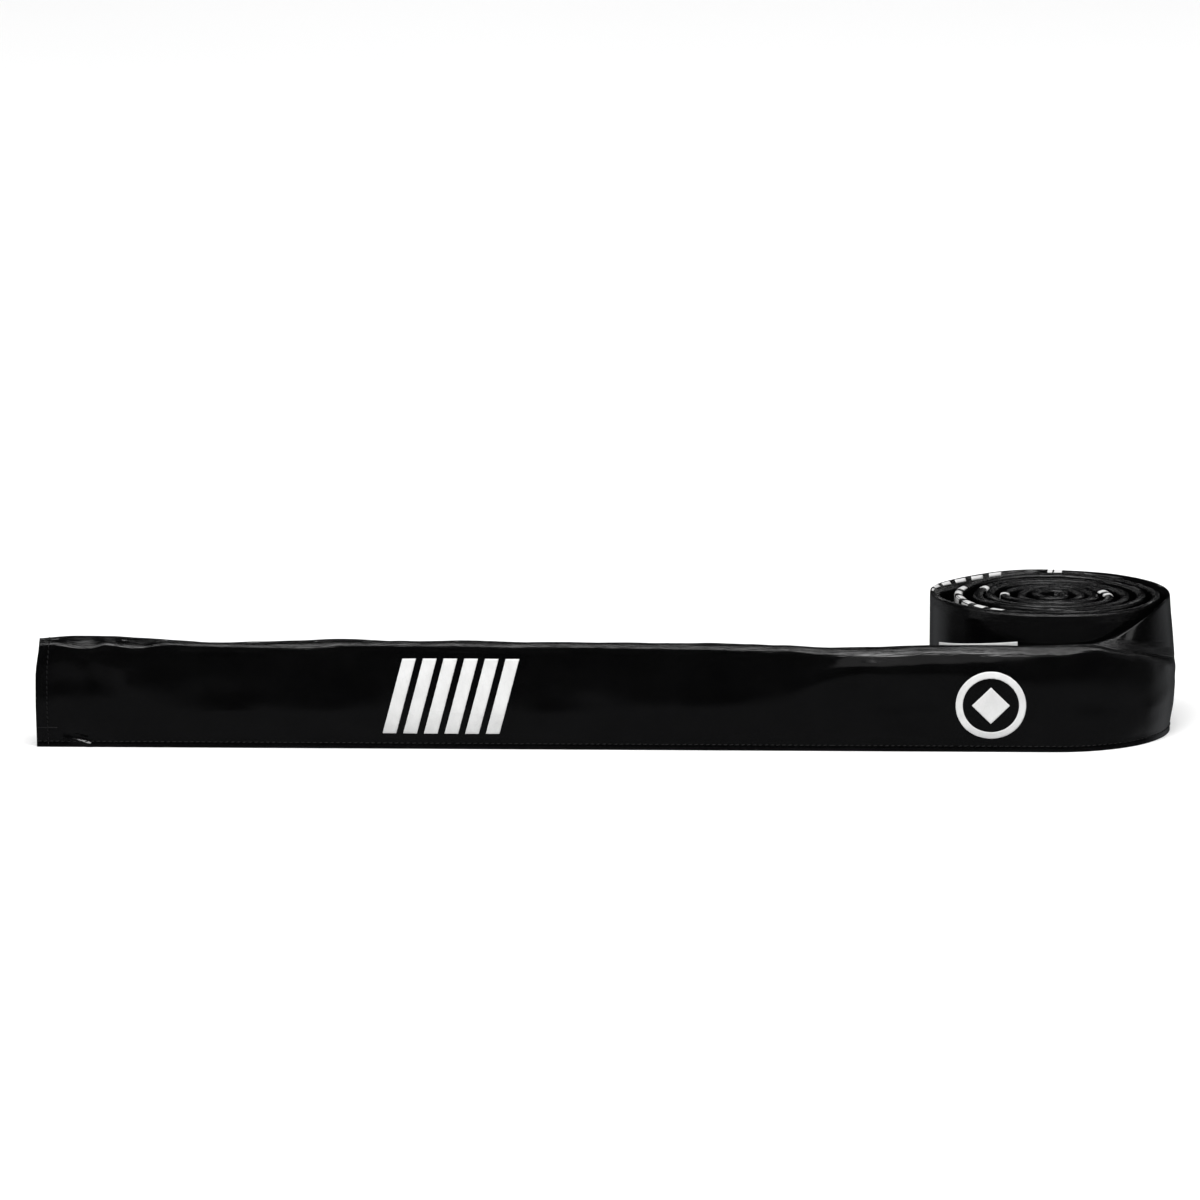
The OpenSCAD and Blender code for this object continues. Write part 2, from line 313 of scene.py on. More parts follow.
# On the front wall: from (s, z) to (s, z), width, and height (below 0 is a dent).
WRINKLES = [
    ((16, 6.2), (32, 1.6), 1.2, 1.0),
    ((17, 8.6), (30, 5.4), 1.6, -0.6),
    ((10, 16), (24, 9), 3.5, -0.5),
    ((6, 55), (52, 51), 4.2, 0.55),
    ((60, 52), (84, 55), 4.0, 0.45),
    ((16, 34), (44, 31), 4.5, 0.5),
    ((20, 18), (48, 9), 5.0, 0.5),
    ((118, 17), (205, 15), 5.0, 0.35),
    ((30, 60), (35, 44), 4.5, -0.6),
    ((64, 60), (59, 47), 4.0, -0.7),
    ((46, 62), (49, 50), 3.5, 0.45),
    ((92, 30), (128, 38), 9.0, -0.45),
    ((205, 14), (250, 12), 7.0, 0.3),
    ((452, 19), (490, 21), 4.2, -0.6),
    ((494, 8), (518, 8.5), 3.2, -0.5),
    ((527, 17), (563, 22), 2.4, -0.55),
    ((598, 18), (640, 9), 5.0, -0.6),
    ((560, 40), (606, 34), 8.0, 0.4),
    ((s_at(64), 46), (s_at(84), 40), 4.0, 0.7),
    ((s_at(50), 22), (s_at(80), 30), 5.0, 0.6),
    ((s_at(15), 12), (s_at(40), 10), 5.0, 0.5),
]


UNDULATION, UNDULATION_S, UNDULATION_Z = 0.85, 46.0, 19.0  # its height, and its length along s and along z
RIPPLE, RIPPLE_S, RIPPLE_Z = 0.3, 15.0, 12.0  # a finer one: its height as a share of that, and its lengths
BACK_SHIFT = 400.0  # keeps the back wall's undulations apart from the front's
SEAM_DEPTH = 0.18  # of the groove that the stitches pull into the margin


def segment_distance(s, z, start, end):
    """Distance from (s, z) to the line from start to end."""
    d = np.array(end, float) - start
    t = np.clip(((s - start[0]) * d[0] + (z - start[1]) * d[1]) / (d @ d), 0, 1)
    return np.hypot(s - start[0] - t * d[0], z - start[1] - t * d[1])


def undulation(s, z, side):
    """Soft waves of the vinyl at one point."""
    broad = noise.noise(Vector((s / UNDULATION_S, z / UNDULATION_Z, side)))
    return broad + RIPPLE * noise.noise(Vector((s / RIPPLE_S, z / RIPPLE_Z, side + 7.0)))


def relief(s, rows):
    """How far each point of the skin stands out of the plain section, in millimetres."""
    front = np.arange(rows.shape[1])[None, :] < rows.shape[1] / 2
    grid_s = np.repeat(s[:, None], rows.shape[1], 1)
    z = rows[:, :, 1]
    free = ease((z - MARGIN_H) / 6.0)
    loose = 1 - 0.72 * ease((grid_s - s_at(20)) / 110.0)
    out = np.zeros_like(z)
    for start, end, width, height in WRINKLES:
        near = bell(segment_distance(grid_s, z, start, end), width)
        out += np.where(front, near * height, 0.0)
    side = np.where(front, 0.0, BACK_SHIFT) + 0 * z
    waves = [undulation(*place) for place in zip(grid_s.ravel(), z.ravel(), side.ravel())]
    groove = -SEAM_DEPTH * bell(z - SEAM_Z, 0.9) * (np.abs(rows[:, :, 0]) > 0.3)
    return out + UNDULATION * free * loose * np.array(waves).reshape(z.shape) + groove


# ---- the skin as one grid, and places on it ----


def stations():
    """Where along the sleeve a section is placed, close together, and always where the sleeve is cut."""
    straight = np.arange(0.0, TAIL_LEN, 1.6)
    turning = []
    for k in range(HALF_TURNS):
        count = 72 if k == 0 else 54
        turning.append(np.linspace(ARC_START[k], ARC_START[k + 1], count, endpoint=False))
    cuts = [end for _, _, end in SLEEVE_CUTS]
    return np.unique(np.round(np.concatenate([straight, *turning, cuts, [SLEEVE_LEN - 0.01]]), 4))


def to_space(s, a, z):
    """Section places to the row frame, in metres."""
    x, y, heading = centre_line(s)
    return np.stack([x + a * np.sin(heading), y - a * np.cos(heading), z + 0 * a], -1) * MM


class Skin:
    """The sleeve's outer face: a grid of points and normals, with s and the distance round each section."""

    def __init__(self):
        self.s = stations()
        rows = section_rows(self.s)
        rows[:, :, 0] += turn_waver(self.s)[:, None]
        step = np.gradient(rows, axis=1)
        outward = np.stack([step[:, :, 1], -step[:, :, 0]], -1)
        outward /= np.maximum(np.linalg.norm(outward, axis=2, keepdims=True), 1e-9)
        rows = rows + outward * relief(self.s, rows)[:, :, None]
        rows[:, :, 1] = np.maximum(rows[:, :, 1], 0.0)
        self.rows, self.outward = rows, outward
        spread = np.repeat(self.s[:, None], rows.shape[1], 1)
        # The upper edge of the mouth is drawn back a little.
        self.mouth_slant = 2.2 * ease((rows[:, :, 1] - 44) / 22.0) * ease((14 - spread) / 14.0)
        self.points = to_space(spread + self.mouth_slant, rows[:, :, 0], rows[:, :, 1])
        ds, du = np.gradient(self.points, axis=0), np.gradient(self.points, axis=1)
        normals = np.cross(ds, du)
        self.normals = normals / np.maximum(np.linalg.norm(normals, axis=2, keepdims=True), 1e-12)
        lengths = np.linalg.norm(np.diff(rows, axis=1), axis=2)
        self.round = np.concatenate([np.zeros((len(self.s), 1)), np.cumsum(lengths, 1)], 1)
        self.middle = rows.shape[1] // 2

    def row(self, s):
        """Station index as a fraction."""
        return np.interp(s, self.s, np.arange(len(self.s)))

    def mix(self, grid, i, j):
        """A grid's values between its points, at fractions of an index."""
        i, j = np.asarray(i, float), np.asarray(j, float)
        i0, j0 = np.floor(i).astype(int), np.floor(j).astype(int)
        i1, j1 = np.minimum(i0 + 1, grid.shape[0] - 1), np.minimum(j0 + 1, grid.shape[1] - 1)
        u, v = (i - i0)[..., None], (j - j0)[..., None]
        return (
            grid[i0, j0] * (1 - u) * (1 - v) + grid[i1, j0] * u * (1 - v)
            + grid[i0, j1] * (1 - u) * v + grid[i1, j1] * u * v
        )

    def at(self, s, j):
        """Points and normals at distances s and section indices j."""
        i = self.row(s)
        n = self.mix(self.normals, i, j)
        return self.mix(self.points, i, j), n / np.linalg.norm(n, axis=-1, keepdims=True)

    def index_at_height(self, s, z, front=True):
        """Section index where one wall has height z, at each s."""
        s, z = np.broadcast_arrays(np.asarray(s, float), np.asarray(z, float))
        half = slice(0, self.middle) if front else slice(self.middle, None)
        base = 0 if front else self.middle
        out = np.zeros(s.shape)
        for place in np.ndindex(s.shape):
            i = int(round(float(self.row(s[place]))))
            heights = self.rows[i, half, 1]
            order = np.arange(len(heights))
            if not front:
                heights, order = heights[::-1], order[::-1]
            rising = np.maximum.accumulate(heights)
            out[place] = base + np.interp(z[place], rising, order)
        return out

    def index_at_round(self, s, distance):
        """Section index at a distance round the section, from the front foot, at one s."""
        i = int(round(float(self.row(s))))
        return np.interp(distance, self.round[i], np.arange(self.round.shape[1]))


skin = Skin()


# ---- mesh helpers ----


def new_object(name, points, faces, material, normals=None, place=None):
    """A smooth mesh; place holds what the materials read with Nodes.place."""
    mesh = bpy.data.meshes.new(name)
    mesh.from_pydata([tuple(p) for p in points], [], faces)
    mesh.polygons.foreach_set("use_smooth", [True] * len(mesh.polygons))
    mesh.materials.append(material)
    if place is not None:
        spots = mesh.attributes.new("place", "FLOAT_VECTOR", "POINT")
        spots.data.foreach_set("vector", np.asarray(place, np.float32).ravel())
    mesh.update()
    if normals is not None:
        mesh.normals_split_custom_set_from_vertices([tuple(n) for n in normals])
    obj = bpy.data.objects.new(name, mesh)
    bpy.context.scene.collection.objects.link(obj)
    return obj


def grid_faces(rows, columns, closed=False, flip=False):
    """Faces over a grid of points, row after row; closed joins the last column to the first."""
    faces = []
    for i in range(rows - 1):
        for j in range(columns if closed else columns - 1):
            k = (j + 1) % columns
            face = [i * columns + j, i * columns + k, (i + 1) * columns + k, (i + 1) * columns + j]
            faces.append(face if flip else face[::-1])
    return faces


def replaces_and_slot(obj, nodes):
    """Hides the CAD nodes that a piece stands for, if any."""
    if nodes:
        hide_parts(*nodes)
    return obj


def bend_over(obj):
    """Bakes a piece's placement into its mesh."""
    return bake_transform(obj)


# ---- materials ----


class Nodes:
    """Short ways to build a material's node tree."""

    def __init__(self, name):
        self.material = bpy.data.materials.new(name)
        self.material.use_nodes = True
        self.tree = self.material.node_tree
        self.shader = self.tree.nodes["Principled BSDF"]

    def add(self, kind, **settings):
        """A node with its settings: its own properties, or else the values of its inputs."""
        node = self.tree.nodes.new(kind)
        for key, value in settings.items():
            if hasattr(node, key):
                setattr(node, key, value)
            else:
                node.inputs[key.replace("_", " ")].default_value = value
        return node

    def link(self, source, target):
        self.tree.links.new(source, target)

    def texture(self, kind, coordinates, **settings):
        node = self.add(kind, **settings)
        self.link(coordinates, node.inputs["Vector"])
        return node

    def ramp(self, source, stops):
        """A colour ramp through (position, grey or colour)."""
        node = self.tree.nodes.new("ShaderNodeValToRGB")
        self.link(source, node.inputs["Fac"])
        elements = node.color_ramp.elements
        while len(elements) < len(stops):
            elements.new(0.5)
        for element, (position, value) in zip(elements, stops):
            element.position = position
            element.color = (*value, 1.0) if isinstance(value, tuple) else (value, value, value, 1.0)
        return node.outputs["Color"]

    def bump(self, height, distance, strength=1.0, below=None):
        node = self.add("ShaderNodeBump", Distance=distance, Strength=strength)
        self.link(height, node.inputs["Height"])
        if below is not None:
            self.link(below, node.inputs["Normal"])
        return node.outputs["Normal"]

    def place(self):
        """Where on the sleeve a point is, in metres along it and round it, and how close to the fold."""
        node = self.add("ShaderNodeAttribute", attribute_name="place")
        split = self.tree.nodes.new("ShaderNodeSeparateXYZ")
        self.link(node.outputs["Vector"], split.inputs["Vector"])
        return node.outputs["Vector"], split.outputs["Z"]


def vinyl_material():
    """Glossy black vinyl: soft clouds and specks in its gloss, fine grain, and a painted highlight on the top
    fold, where its colour turns lighter.
    """
    n = Nodes("black_vinyl")
    spot, fold = n.place()
    cloud = n.texture("ShaderNodeTexNoise", spot, Scale=38.0, Detail=4.0, Roughness=0.55)
    speck = n.texture("ShaderNodeTexNoise", spot, Scale=900.0, Detail=2.0)
    grain = n.texture("ShaderNodeTexVoronoi", spot, Scale=1500.0, feature="SMOOTH_F1")
    pores = n.texture("ShaderNodeTexNoise", spot, Scale=2600.0, Detail=2.0)
    wave = n.texture("ShaderNodeTexNoise", spot, Scale=55.0, Detail=3.0, Roughness=0.5)
    colour = n.ramp(cloud.outputs["Fac"], [(0.3, (0.0009, 0.0009, 0.001)), (0.75, (0.0018, 0.0018, 0.0019))])
    # Painted highlight: the fold weight mixes the colour towards a lighter black on the top fold.
    fold_sheen_and_crack_mix = n.add("ShaderNodeMix", data_type="RGBA")
    fold_sheen_and_crack_mix.inputs[7].default_value = (0.0032, 0.0032, 0.0034, 1.0)
    n.link(colour, fold_sheen_and_crack_mix.inputs[6])
    n.link(n.ramp(fold, [(0.55, 0.0), (1.0, 0.5)]), fold_sheen_and_crack_mix.inputs[0])
    n.link(fold_sheen_and_crack_mix.outputs[2], n.shader.inputs["Base Color"])
    rough = n.add("ShaderNodeMath", operation="MULTIPLY_ADD")
    rough.inputs[1].default_value = 0.08
    rough.inputs[2].default_value = 0.05
    n.link(n.ramp(cloud.outputs["Fac"], [(0.35, 0.1), (0.7, 0.9)]), rough.inputs[0])
    scuff = n.add("ShaderNodeMath", operation="MULTIPLY_ADD")
    scuff.inputs[1].default_value = 0.05
    n.link(speck.outputs["Fac"], scuff.inputs[0])
    n.link(rough.outputs[0], scuff.inputs[2])
    n.link(scuff.outputs[0], n.shader.inputs["Roughness"])
    low = n.bump(wave.outputs["Fac"], 0.0006, 0.35)
    cells = n.bump(grain.outputs["Distance"], 0.00002, 0.4, low)
    n.link(n.bump(pores.outputs["Fac"], 0.00001, 0.3, cells), n.shader.inputs["Normal"])
    n.shader.inputs["IOR"].default_value = 1.45
    return n.material


def lining_material():
    """The knitted backing on the inside of the vinyl."""
    n = Nodes("knitted_backing")
    spot, _ = n.place()
    warp = n.texture("ShaderNodeTexWave", spot, Scale=300.0, Distortion=0.6, bands_direction="X")
    weft = n.texture("ShaderNodeTexWave", spot, Scale=380.0, Distortion=0.8, bands_direction="Y")
    knit = n.add("ShaderNodeMath", operation="MULTIPLY")
    n.link(warp.outputs["Fac"], knit.inputs[0])
    n.link(weft.outputs["Fac"], knit.inputs[1])
    n.link(n.ramp(knit.outputs[0], [(0.0, (0.012, 0.012, 0.013)), (1.0, (0.06, 0.06, 0.062))]),
           n.shader.inputs["Base Color"])
    n.shader.inputs["Roughness"].default_value = 0.9
    n.shader.inputs["Sheen Weight"].default_value = 0.2
    n.link(n.bump(knit.outputs[0], 0.0003, 0.8), n.shader.inputs["Normal"])
    return n.material


def thread_material():
    """Black twisted thread with a little fluff."""
    n = Nodes("black_thread")
    spot, _ = n.place()
    twist = n.texture("ShaderNodeTexWave", spot, Scale=900.0, Distortion=0.5, bands_direction="DIAGONAL")
    fluff = n.texture("ShaderNodeTexNoise", spot, Scale=1800.0, Detail=3.0)
    n.link(n.ramp(fluff.outputs["Fac"], [(0.3, (0.003, 0.003, 0.0032)), (0.8, (0.009, 0.009, 0.0094))]),
           n.shader.inputs["Base Color"])
    n.link(n.ramp(fluff.outputs["Fac"], [(0.2, 0.42), (0.8, 0.62)]), n.shader.inputs["Roughness"])
    n.link(n.bump(twist.outputs["Fac"], 0.00008, 0.8), n.shader.inputs["Normal"])
    n.shader.inputs["Specular IOR Level"].default_value = 0.2
    return n.material


def ink_material():
    """White screen print: slightly clouded, with fine cracks."""
    n = Nodes("white_print")
    spot, _ = n.place()
    cloud = n.texture("ShaderNodeTexNoise", spot, Scale=160.0, Detail=5.0)
    cracks = n.texture("ShaderNodeTexVoronoi", spot, Scale=420.0, feature="DISTANCE_TO_EDGE")
    grain = n.texture("ShaderNodeTexNoise", spot, Scale=2200.0, Detail=2.0)
    colour = n.ramp(cloud.outputs["Fac"], [(0.25, (0.48, 0.48, 0.477)), (0.7, (0.56, 0.56, 0.557))])
    fold_sheen_and_crack_mix = n.add("ShaderNodeMix", data_type="RGBA")
    fold_sheen_and_crack_mix.inputs[6].default_value = (0.42, 0.42, 0.42, 1.0)
    n.link(colour, fold_sheen_and_crack_mix.inputs[7])
    n.link(n.ramp(cracks.outputs["Distance"], [(0.0, 0.55), (0.035, 1.0)]), fold_sheen_and_crack_mix.inputs[0])
    n.link(fold_sheen_and_crack_mix.outputs[2], n.shader.inputs["Base Color"])
    n.link(n.ramp(cloud.outputs["Fac"], [(0.3, 0.3), (0.8, 0.45)]), n.shader.inputs["Roughness"])
    n.link(n.bump(grain.outputs["Fac"], 0.00003, 0.5), n.shader.inputs["Normal"])
    return n.material


VINYL, LINING, THREAD, INK = vinyl_material(), lining_material(), thread_material(), ink_material()


# ---- the sleeve ----


# The fold weight also places the vinyl's painted highlight on the top fold.
def fold_weight(i, j):
    """1 on the top fold and 0 on the walls."""
    return bell(skin.round[i, j] - skin.round[i, skin.middle], 3.0)


ROUND_STEP = 1.6  # between section indices, roughly: enough for the grain of the smaller pieces


def skin_places(i, j):
    """What the vinyl's material reads at points of the skin."""
    return np.stack([skin.s[i] * MM + 0 * j, skin.round[i, j] * MM, fold_weight(i, j)], -1)


def sleeve_piece(name, start, end, nodes):
    """One stretch of the outer face."""
    i = np.where((skin.s >= start - 1e-6) & (skin.s <= end + 1e-6))[0]
    columns = skin.points.shape[1]
    grid_i, grid_j = np.meshgrid(i, np.arange(columns), indexing="ij")
    obj = new_object(
        name,
        skin.points[i].reshape(-1, 3),
        grid_faces(len(i), columns),
        VINYL,
        skin.normals[i].reshape(-1, 3),
        skin_places(grid_i, grid_j).reshape(-1, 3),
    )
    replaces_and_slot(obj, nodes)
    return obj


HALF_GAP = 0.08  # least room between the insides of the two walls


def inside(s, j, depth):
    """A point of the sleeve at a depth below its outer face."""
    i = np.clip(skin.row(s), 0, len(skin.s) - 1)
    rows = skin.mix(skin.rows, i, j)
    out = skin.mix(skin.outward, i, j)
    a, z = rows[..., 0] - out[..., 0] * depth, rows[..., 1] - out[..., 1] * depth
    front = np.asarray(j) < skin.middle
    if np.max(s) < TAIL_LEN:  # in the coil the waver shifts the whole section, so a = 0 isn't its middle
        a = np.where(front, np.maximum(a, HALF_GAP), np.minimum(a, -HALF_GAP))
    slant = skin.mix(skin.mouth_slant[..., None], i, j)[..., 0]
    return to_space(s + slant, a, np.maximum(z, MARGIN_H + 0.4))


def hollow_columns():
    """Section indices of the walls above the seam margin."""
    heights = skin.rows[0, :, 1]
    return np.where(heights > MARGIN_H + 1.2)[0]


def lining(name, start, end, step):
    """The fabric side of the vinyl, seen through the mouth."""
    j = hollow_columns()
    s = np.arange(start, end + step / 2, step)
    grid_s, grid_j = np.meshgrid(s, j, indexing="ij")
    points = inside(grid_s, grid_j, VINYL_T)
    place = np.stack([grid_s * MM, grid_j * ROUND_STEP * MM, 0 * grid_s], -1)
    faces = grid_faces(len(s), len(j), closed=True, flip=True)
    obj = new_object(name, points.reshape(-1, 3), faces, LINING, place=place.reshape(-1, 3))
    return obj


HEM_DEPTH = 9.0
HEM_GAP = 0.03  # between the turned-in layer and the wall


def hem(name, at_start, nodes):
    """The vinyl turned in at an end: a rounded lip over the cut edge, then a flat layer on the inside."""
    turn = np.linspace(-pi / 2, pi / 2, 9)
    # (distance from the end, depth below the outer face), round the lip, in along the layer and back under it
    path = [(VINYL_T - VINYL_T * np.cos(t), VINYL_T + (VINYL_T + HEM_GAP) * np.sin(t)) for t in turn]
    path += [(s, 2 * VINYL_T + HEM_GAP) for s in np.linspace(2.0, HEM_DEPTH - 0.4, 7)]
    path += [(HEM_DEPTH, 1.7 * VINYL_T), (HEM_DEPTH, 1.05 * VINYL_T)]
    path += [(s, 1.02 * VINYL_T) for s in (HEM_DEPTH * 0.6, HEM_DEPTH * 0.3, 1.2)]
    j = hollow_columns()
    far = SLEEVE_LEN - 0.02
    rows = [inside(np.full(len(j), s if at_start else far - s), j, depth) for s, depth in path]
    rows.append(rows[0])
    place = []
    for k in range(len(rows)):
        place.append(np.stack([np.full(len(j), k * 0.4 * MM), j * ROUND_STEP * MM, 0.3 + 0 * j], -1))
    faces = grid_faces(len(rows), len(j), closed=True, flip=at_start)
    obj = new_object(name, np.concatenate(rows), faces, VINYL, place=np.concatenate(place))
    return replaces_and_slot(obj, nodes)


for joint, start, end in SLEEVE_CUTS:
    piece = sleeve_piece(f"sleeve_{joint}", start, end, [f"tail_sleeve_{joint[-1]}"])
    bend_over(piece)
coil_nodes = ["lead_out"] + [f"coil_turn_{n}" for n in range(1, 9)]
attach(sleeve_piece("sleeve_coil", COIL_CUT, SLEEVE_LEN, coil_nodes), "coil")
bend_over(lining("sleeve_backing", start=3.0, end=SLEEVE_CUTS[0][2], step=4.0))
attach(hem("mouth_hem_turned_in", True, ["mouth_hem"]), "tail_4")
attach(hem("inner_end_hem_turned_in", False, ["inner_end_hem"]), "coil")


# ---- sewing ----


def stitch_shape(length, radius, sides=8, rings=7):
    """One stitch along X, bulging in the middle and diving into the vinyl at both ends."""
    points, faces = [(-length / 2, 0, -radius * 0.9)], []
    for i in range(1, rings):
        t = -1 + 2 * i / rings
        girth = radius * (1 - t * t) ** 0.38
        height = radius * (0.55 - 1.1 * t * t)
        for k in range(sides):
            angle = 2 * pi * k / sides
            points.append((t * length / 2, girth * np.cos(angle), height + girth * np.sin(angle)))
    points.append((length / 2, 0, -radius * 0.9))
    last = len(points) - 1
    for k in range(sides):
        faces.append([0, 1 + (k + 1) % sides, 1 + k])
        faces.append([last, last - sides + k, last - sides + (k + 1) % sides])
    for i in range(rings - 2):
        for k in range(sides):
            a, b = 1 + i * sides + k, 1 + i * sides + (k + 1) % sides
            faces.append([a, b, b + sides, a + sides])
    return np.array(points), faces


def sew(name, s, j, across, length, radius, nodes=(), twist=0.12):
    """A row of stitches at places (s, j) on the skin; across is True where the row runs round the section."""
    shape, faces = stitch_shape(length, radius)
    s, j = np.asarray(s, float), np.asarray(j, float)
    spot, out = skin.at(s, j)
    ahead = skin.at(s, j + 0.3)[0] if across else skin.at(s + 0.5, j)[0]
    run = ahead - spot
    run -= out * np.sum(run * out, -1, keepdims=True)
    run /= np.linalg.norm(run, axis=-1, keepdims=True)
    side = np.cross(out, run)
    slant = twist * (1 + 0.4 * np.sin(np.arange(len(s)) * 2.4))[:, None]
    run, side = run * np.cos(slant) + side * np.sin(slant), side * np.cos(slant) - run * np.sin(slant)
    x, y, z = shape[None, :, 0], shape[None, :, 1], shape[None, :, 2]
    turned = x[..., None] * run[:, None] + y[..., None] * side[:, None] + z[..., None] * out[:, None]
    points = spot[:, None] + turned * MM
    every = [[v + n * len(shape) for v in face] for n in range(len(s)) for face in faces]
    place = np.stack([s[:, None] * MM + x * MM, j[:, None] * MM + y * MM, 0 * s[:, None] + z * MM], -1)
    obj = new_object(name, points.reshape(-1, 3), every, THREAD, place=place.reshape(-1, 3))
    return replaces_and_slot(obj, nodes)


STITCH_STEP = 3.5
THREAD_R = 0.3


def on_both_walls(s, z):
    """Places (s, j) at one height, first on the front wall and then on the back wall."""
    j = [skin.index_at_height(s, z, front) for front in (True, False)]
    return np.concatenate([s, s]), np.concatenate(j)


def seam(name, start, end, nodes):
    """The row of stitches that closes the sleeve along its lower edge, seen on both sides."""
    s, j = on_both_walls(np.arange(start + STITCH_STEP / 2, end, STITCH_STEP), SEAM_Z)
    return sew(name, s, j, False, STITCH_STEP * 0.8, THREAD_R, nodes)


for joint, start, end in SLEEVE_CUTS:
    bend_over(seam(f"seam_stitches_{joint}", start, end, [f"tail_seam_thread_{joint[-1]}"]))
coil_seam_nodes = ["coil_seam_thread", "lead_out_seam_thread"]
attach(seam("seam_stitches_coil", COIL_CUT, SLEEVE_LEN - 2, coil_seam_nodes), "coil")


def hem_stitches(name, s, nodes):
    """A row of stitches round the sleeve that holds a hem."""
    total = skin.round[int(round(float(skin.row(s)))), -1]
    distance = np.arange(2.6, total - 2.4, 3.1)
    return sew(name, np.full(len(distance), s), skin.index_at_round(s, distance), True, 2.5, THREAD_R, nodes)


def tack(name, nodes):
    """A short dense row across the hem, near the lower corner of the mouth."""
    s, j = on_both_walls(np.arange(1.4, 12.6, 1.5), 12.5)
    return sew(name, s, j, False, 2.1, 0.34, nodes, twist=0.3)


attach(hem_stitches("mouth_hem_stitches", 6.9, ["mouth_stitching"]), "tail_4")
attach(tack("mouth_corner_stitches", ["mouth_corner_tack"]), "tail_4")
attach(hem_stitches("inner_end_stitches", SLEEVE_LEN - 7.0, ["inner_end_stitching"]), "coil")


# ---- print ----

INK_T = 0.09
INK_EDGE = -0.05  # below 0: the edges are pressed into the vinyl


def ink_patch(s, j, closed=False, flip=False):
    """A thin layer of ink over places on the skin: its points, what its material reads, and its faces."""
    margin = ((1, 1), (0, 0)) if closed else 1
    s, j = np.pad(s, margin, "edge"), np.pad(j, margin, "edge")
    rise = np.full(s.shape, INK_T)
    rise[0] = rise[-1] = INK_EDGE
    if not closed:
        rise[:, 0] = rise[:, -1] = INK_EDGE
    spot, out = skin.at(s, j)
    points = spot + out * rise[..., None] * MM
    place = np.stack([s * MM, j * ROUND_STEP * MM, 0 * s], -1)
    return points.reshape(-1, 3), place.reshape(-1, 3), grid_faces(*s.shape, closed=closed, flip=flip)


def ink_object(name, patches, nodes):
    """One printed piece made of several patches."""
    points, places, faces, base = [], [], [], 0
    for patch_points, patch_places, patch_faces in patches:
        points.append(patch_points)
        places.append(patch_places)
        faces += [[base + v for v in face] for face in patch_faces]
        base += len(patch_points)
    obj = new_object(name, np.concatenate(points), faces, INK, place=np.concatenate(places))
    return replaces_and_slot(obj, nodes)


def ragged(values, along_line, seed):
    """A printed edge wanders a little."""
    return values + 0.16 * np.array([noise.noise(Vector((v * 0.8, seed, 0.0))) for v in along_line])


STRIPES_W, STRIPES_H, STRIPES_COUNT, STRIPES_SLANT = 86.0, 46.0, 6, 12.0


def tail_stripes(name, start_s, foot_z, nodes):
    """Slanted bars on the front wall."""
    step = (STRIPES_W - STRIPES_SLANT) / STRIPES_COUNT
    bar = step * 0.66
    patches = []
    for n in range(STRIPES_COUNT):
        z = np.linspace(foot_z, foot_z + STRIPES_H, 48)
        lean = STRIPES_SLANT * (z - foot_z) / STRIPES_H
        left = ragged(start_s + n * step + lean, z, n)
        right = ragged(start_s + n * step + lean + bar, z, n + 20)
        across = np.linspace(0, 1, 9)
        s = left[:, None] + (right - left)[:, None] * across
        grid_z = np.repeat(z[:, None], len(across), 1)
        patches.append(ink_patch(s, skin.index_at_height(s, grid_z)))
    return ink_object(name, patches, nodes)


WRAP_LEAN, WRAP_RISE = 8.0, 50.0  # a bar on the coil leans so far over such a rise
BAR_FOOT_Z = 36


def wrapped_patch(start, low_z, bar, seed, over=5.0):
    """One bar on a turn of the coil, up its outer wall and over the fold."""
    i = int(round(float(skin.row(start + bar / 2))))
    foot = int(skin.index_at_height(np.array([skin.s[i]]), np.array([low_z]))[0])
    high = skin.round[i, skin.middle] + over
    up = np.linspace(skin.round[i, foot], high, 44)
    j = skin.index_at_round(skin.s[i], up)
    across = np.linspace(0, bar, 9)
    s = ragged(start + WRAP_LEAN * (up - high) / WRAP_RISE, up, seed)[:, None] + across
    return ink_patch(s, np.repeat(j[:, None], len(across), 1))


def wrapped_stripes(name, heading_deg, bar, step, over, nodes):
    """Slanted bars on one turn of the coil."""
    patches = []
    for n in range(STRIPES_COUNT):
        patches.append(wrapped_patch(s_at(heading_deg) + n * step, BAR_FOOT_Z, bar, n + 40, over))
    return ink_object(name, patches, nodes)


# Other white flecks on the folds, made with the ink material: heading in the coil, foot height and width.
FLECKS = [(124, 80, 6), (176, 80, 5), (181, 80, 3), (964, 78, 5), (1538, 78, 4), (1553, 78, 4), (1708, 78, 4)]

# One long printed edge shows above the straight stretch: its headings, the heights of its top, and its height.
EDGE_HEADINGS, EDGE_TOP_Z, EDGE_H = (290, 341), (56.6, 65.2), 6.0


def ink_flecks_and_edge(name):
    """The flecks and the long edge, which have no nodes in the CAD."""
    patches = [wrapped_patch(s_at(turn), z, bar, n + 60) for n, (turn, z, bar) in enumerate(FLECKS)]
    run = np.linspace(s_at(EDGE_HEADINGS[0]), s_at(EDGE_HEADINGS[1]), 60)
    s, z = np.meshgrid(run, np.linspace(-EDGE_H, 0.0, 8), indexing="ij")
    z = z + np.linspace(*EDGE_TOP_Z, 60)[:, None]
    patches.append(ink_patch(s, skin.index_at_height(s, z), flip=True))
    return ink_object(name, patches, [])


BADGE_D = 42.0


def badge(name, centre_s, centre_z, nodes):
    """A ring round a diamond."""
    angle = np.linspace(0, 2 * pi, 96, endpoint=False)
    radius = np.linspace(BADGE_D * 0.4, BADGE_D * 0.5, 6)
    s = centre_s + radius[:, None] * np.cos(angle)
    z = centre_z + radius[:, None] * np.sin(angle)
    ring = ink_patch(s, skin.index_at_height(s, z), closed=True)
    edge = np.linspace(-1, 1, 22)
    u, v = np.meshgrid(edge, edge, indexing="ij")
    half = BADGE_D * 0.27 / 2
    s, z = centre_s + (u + v) * half, centre_z + (v - u) * half
    diamond = ink_patch(s, skin.index_at_height(s, z))
    return ink_object(name, [ring, diamond], nodes)


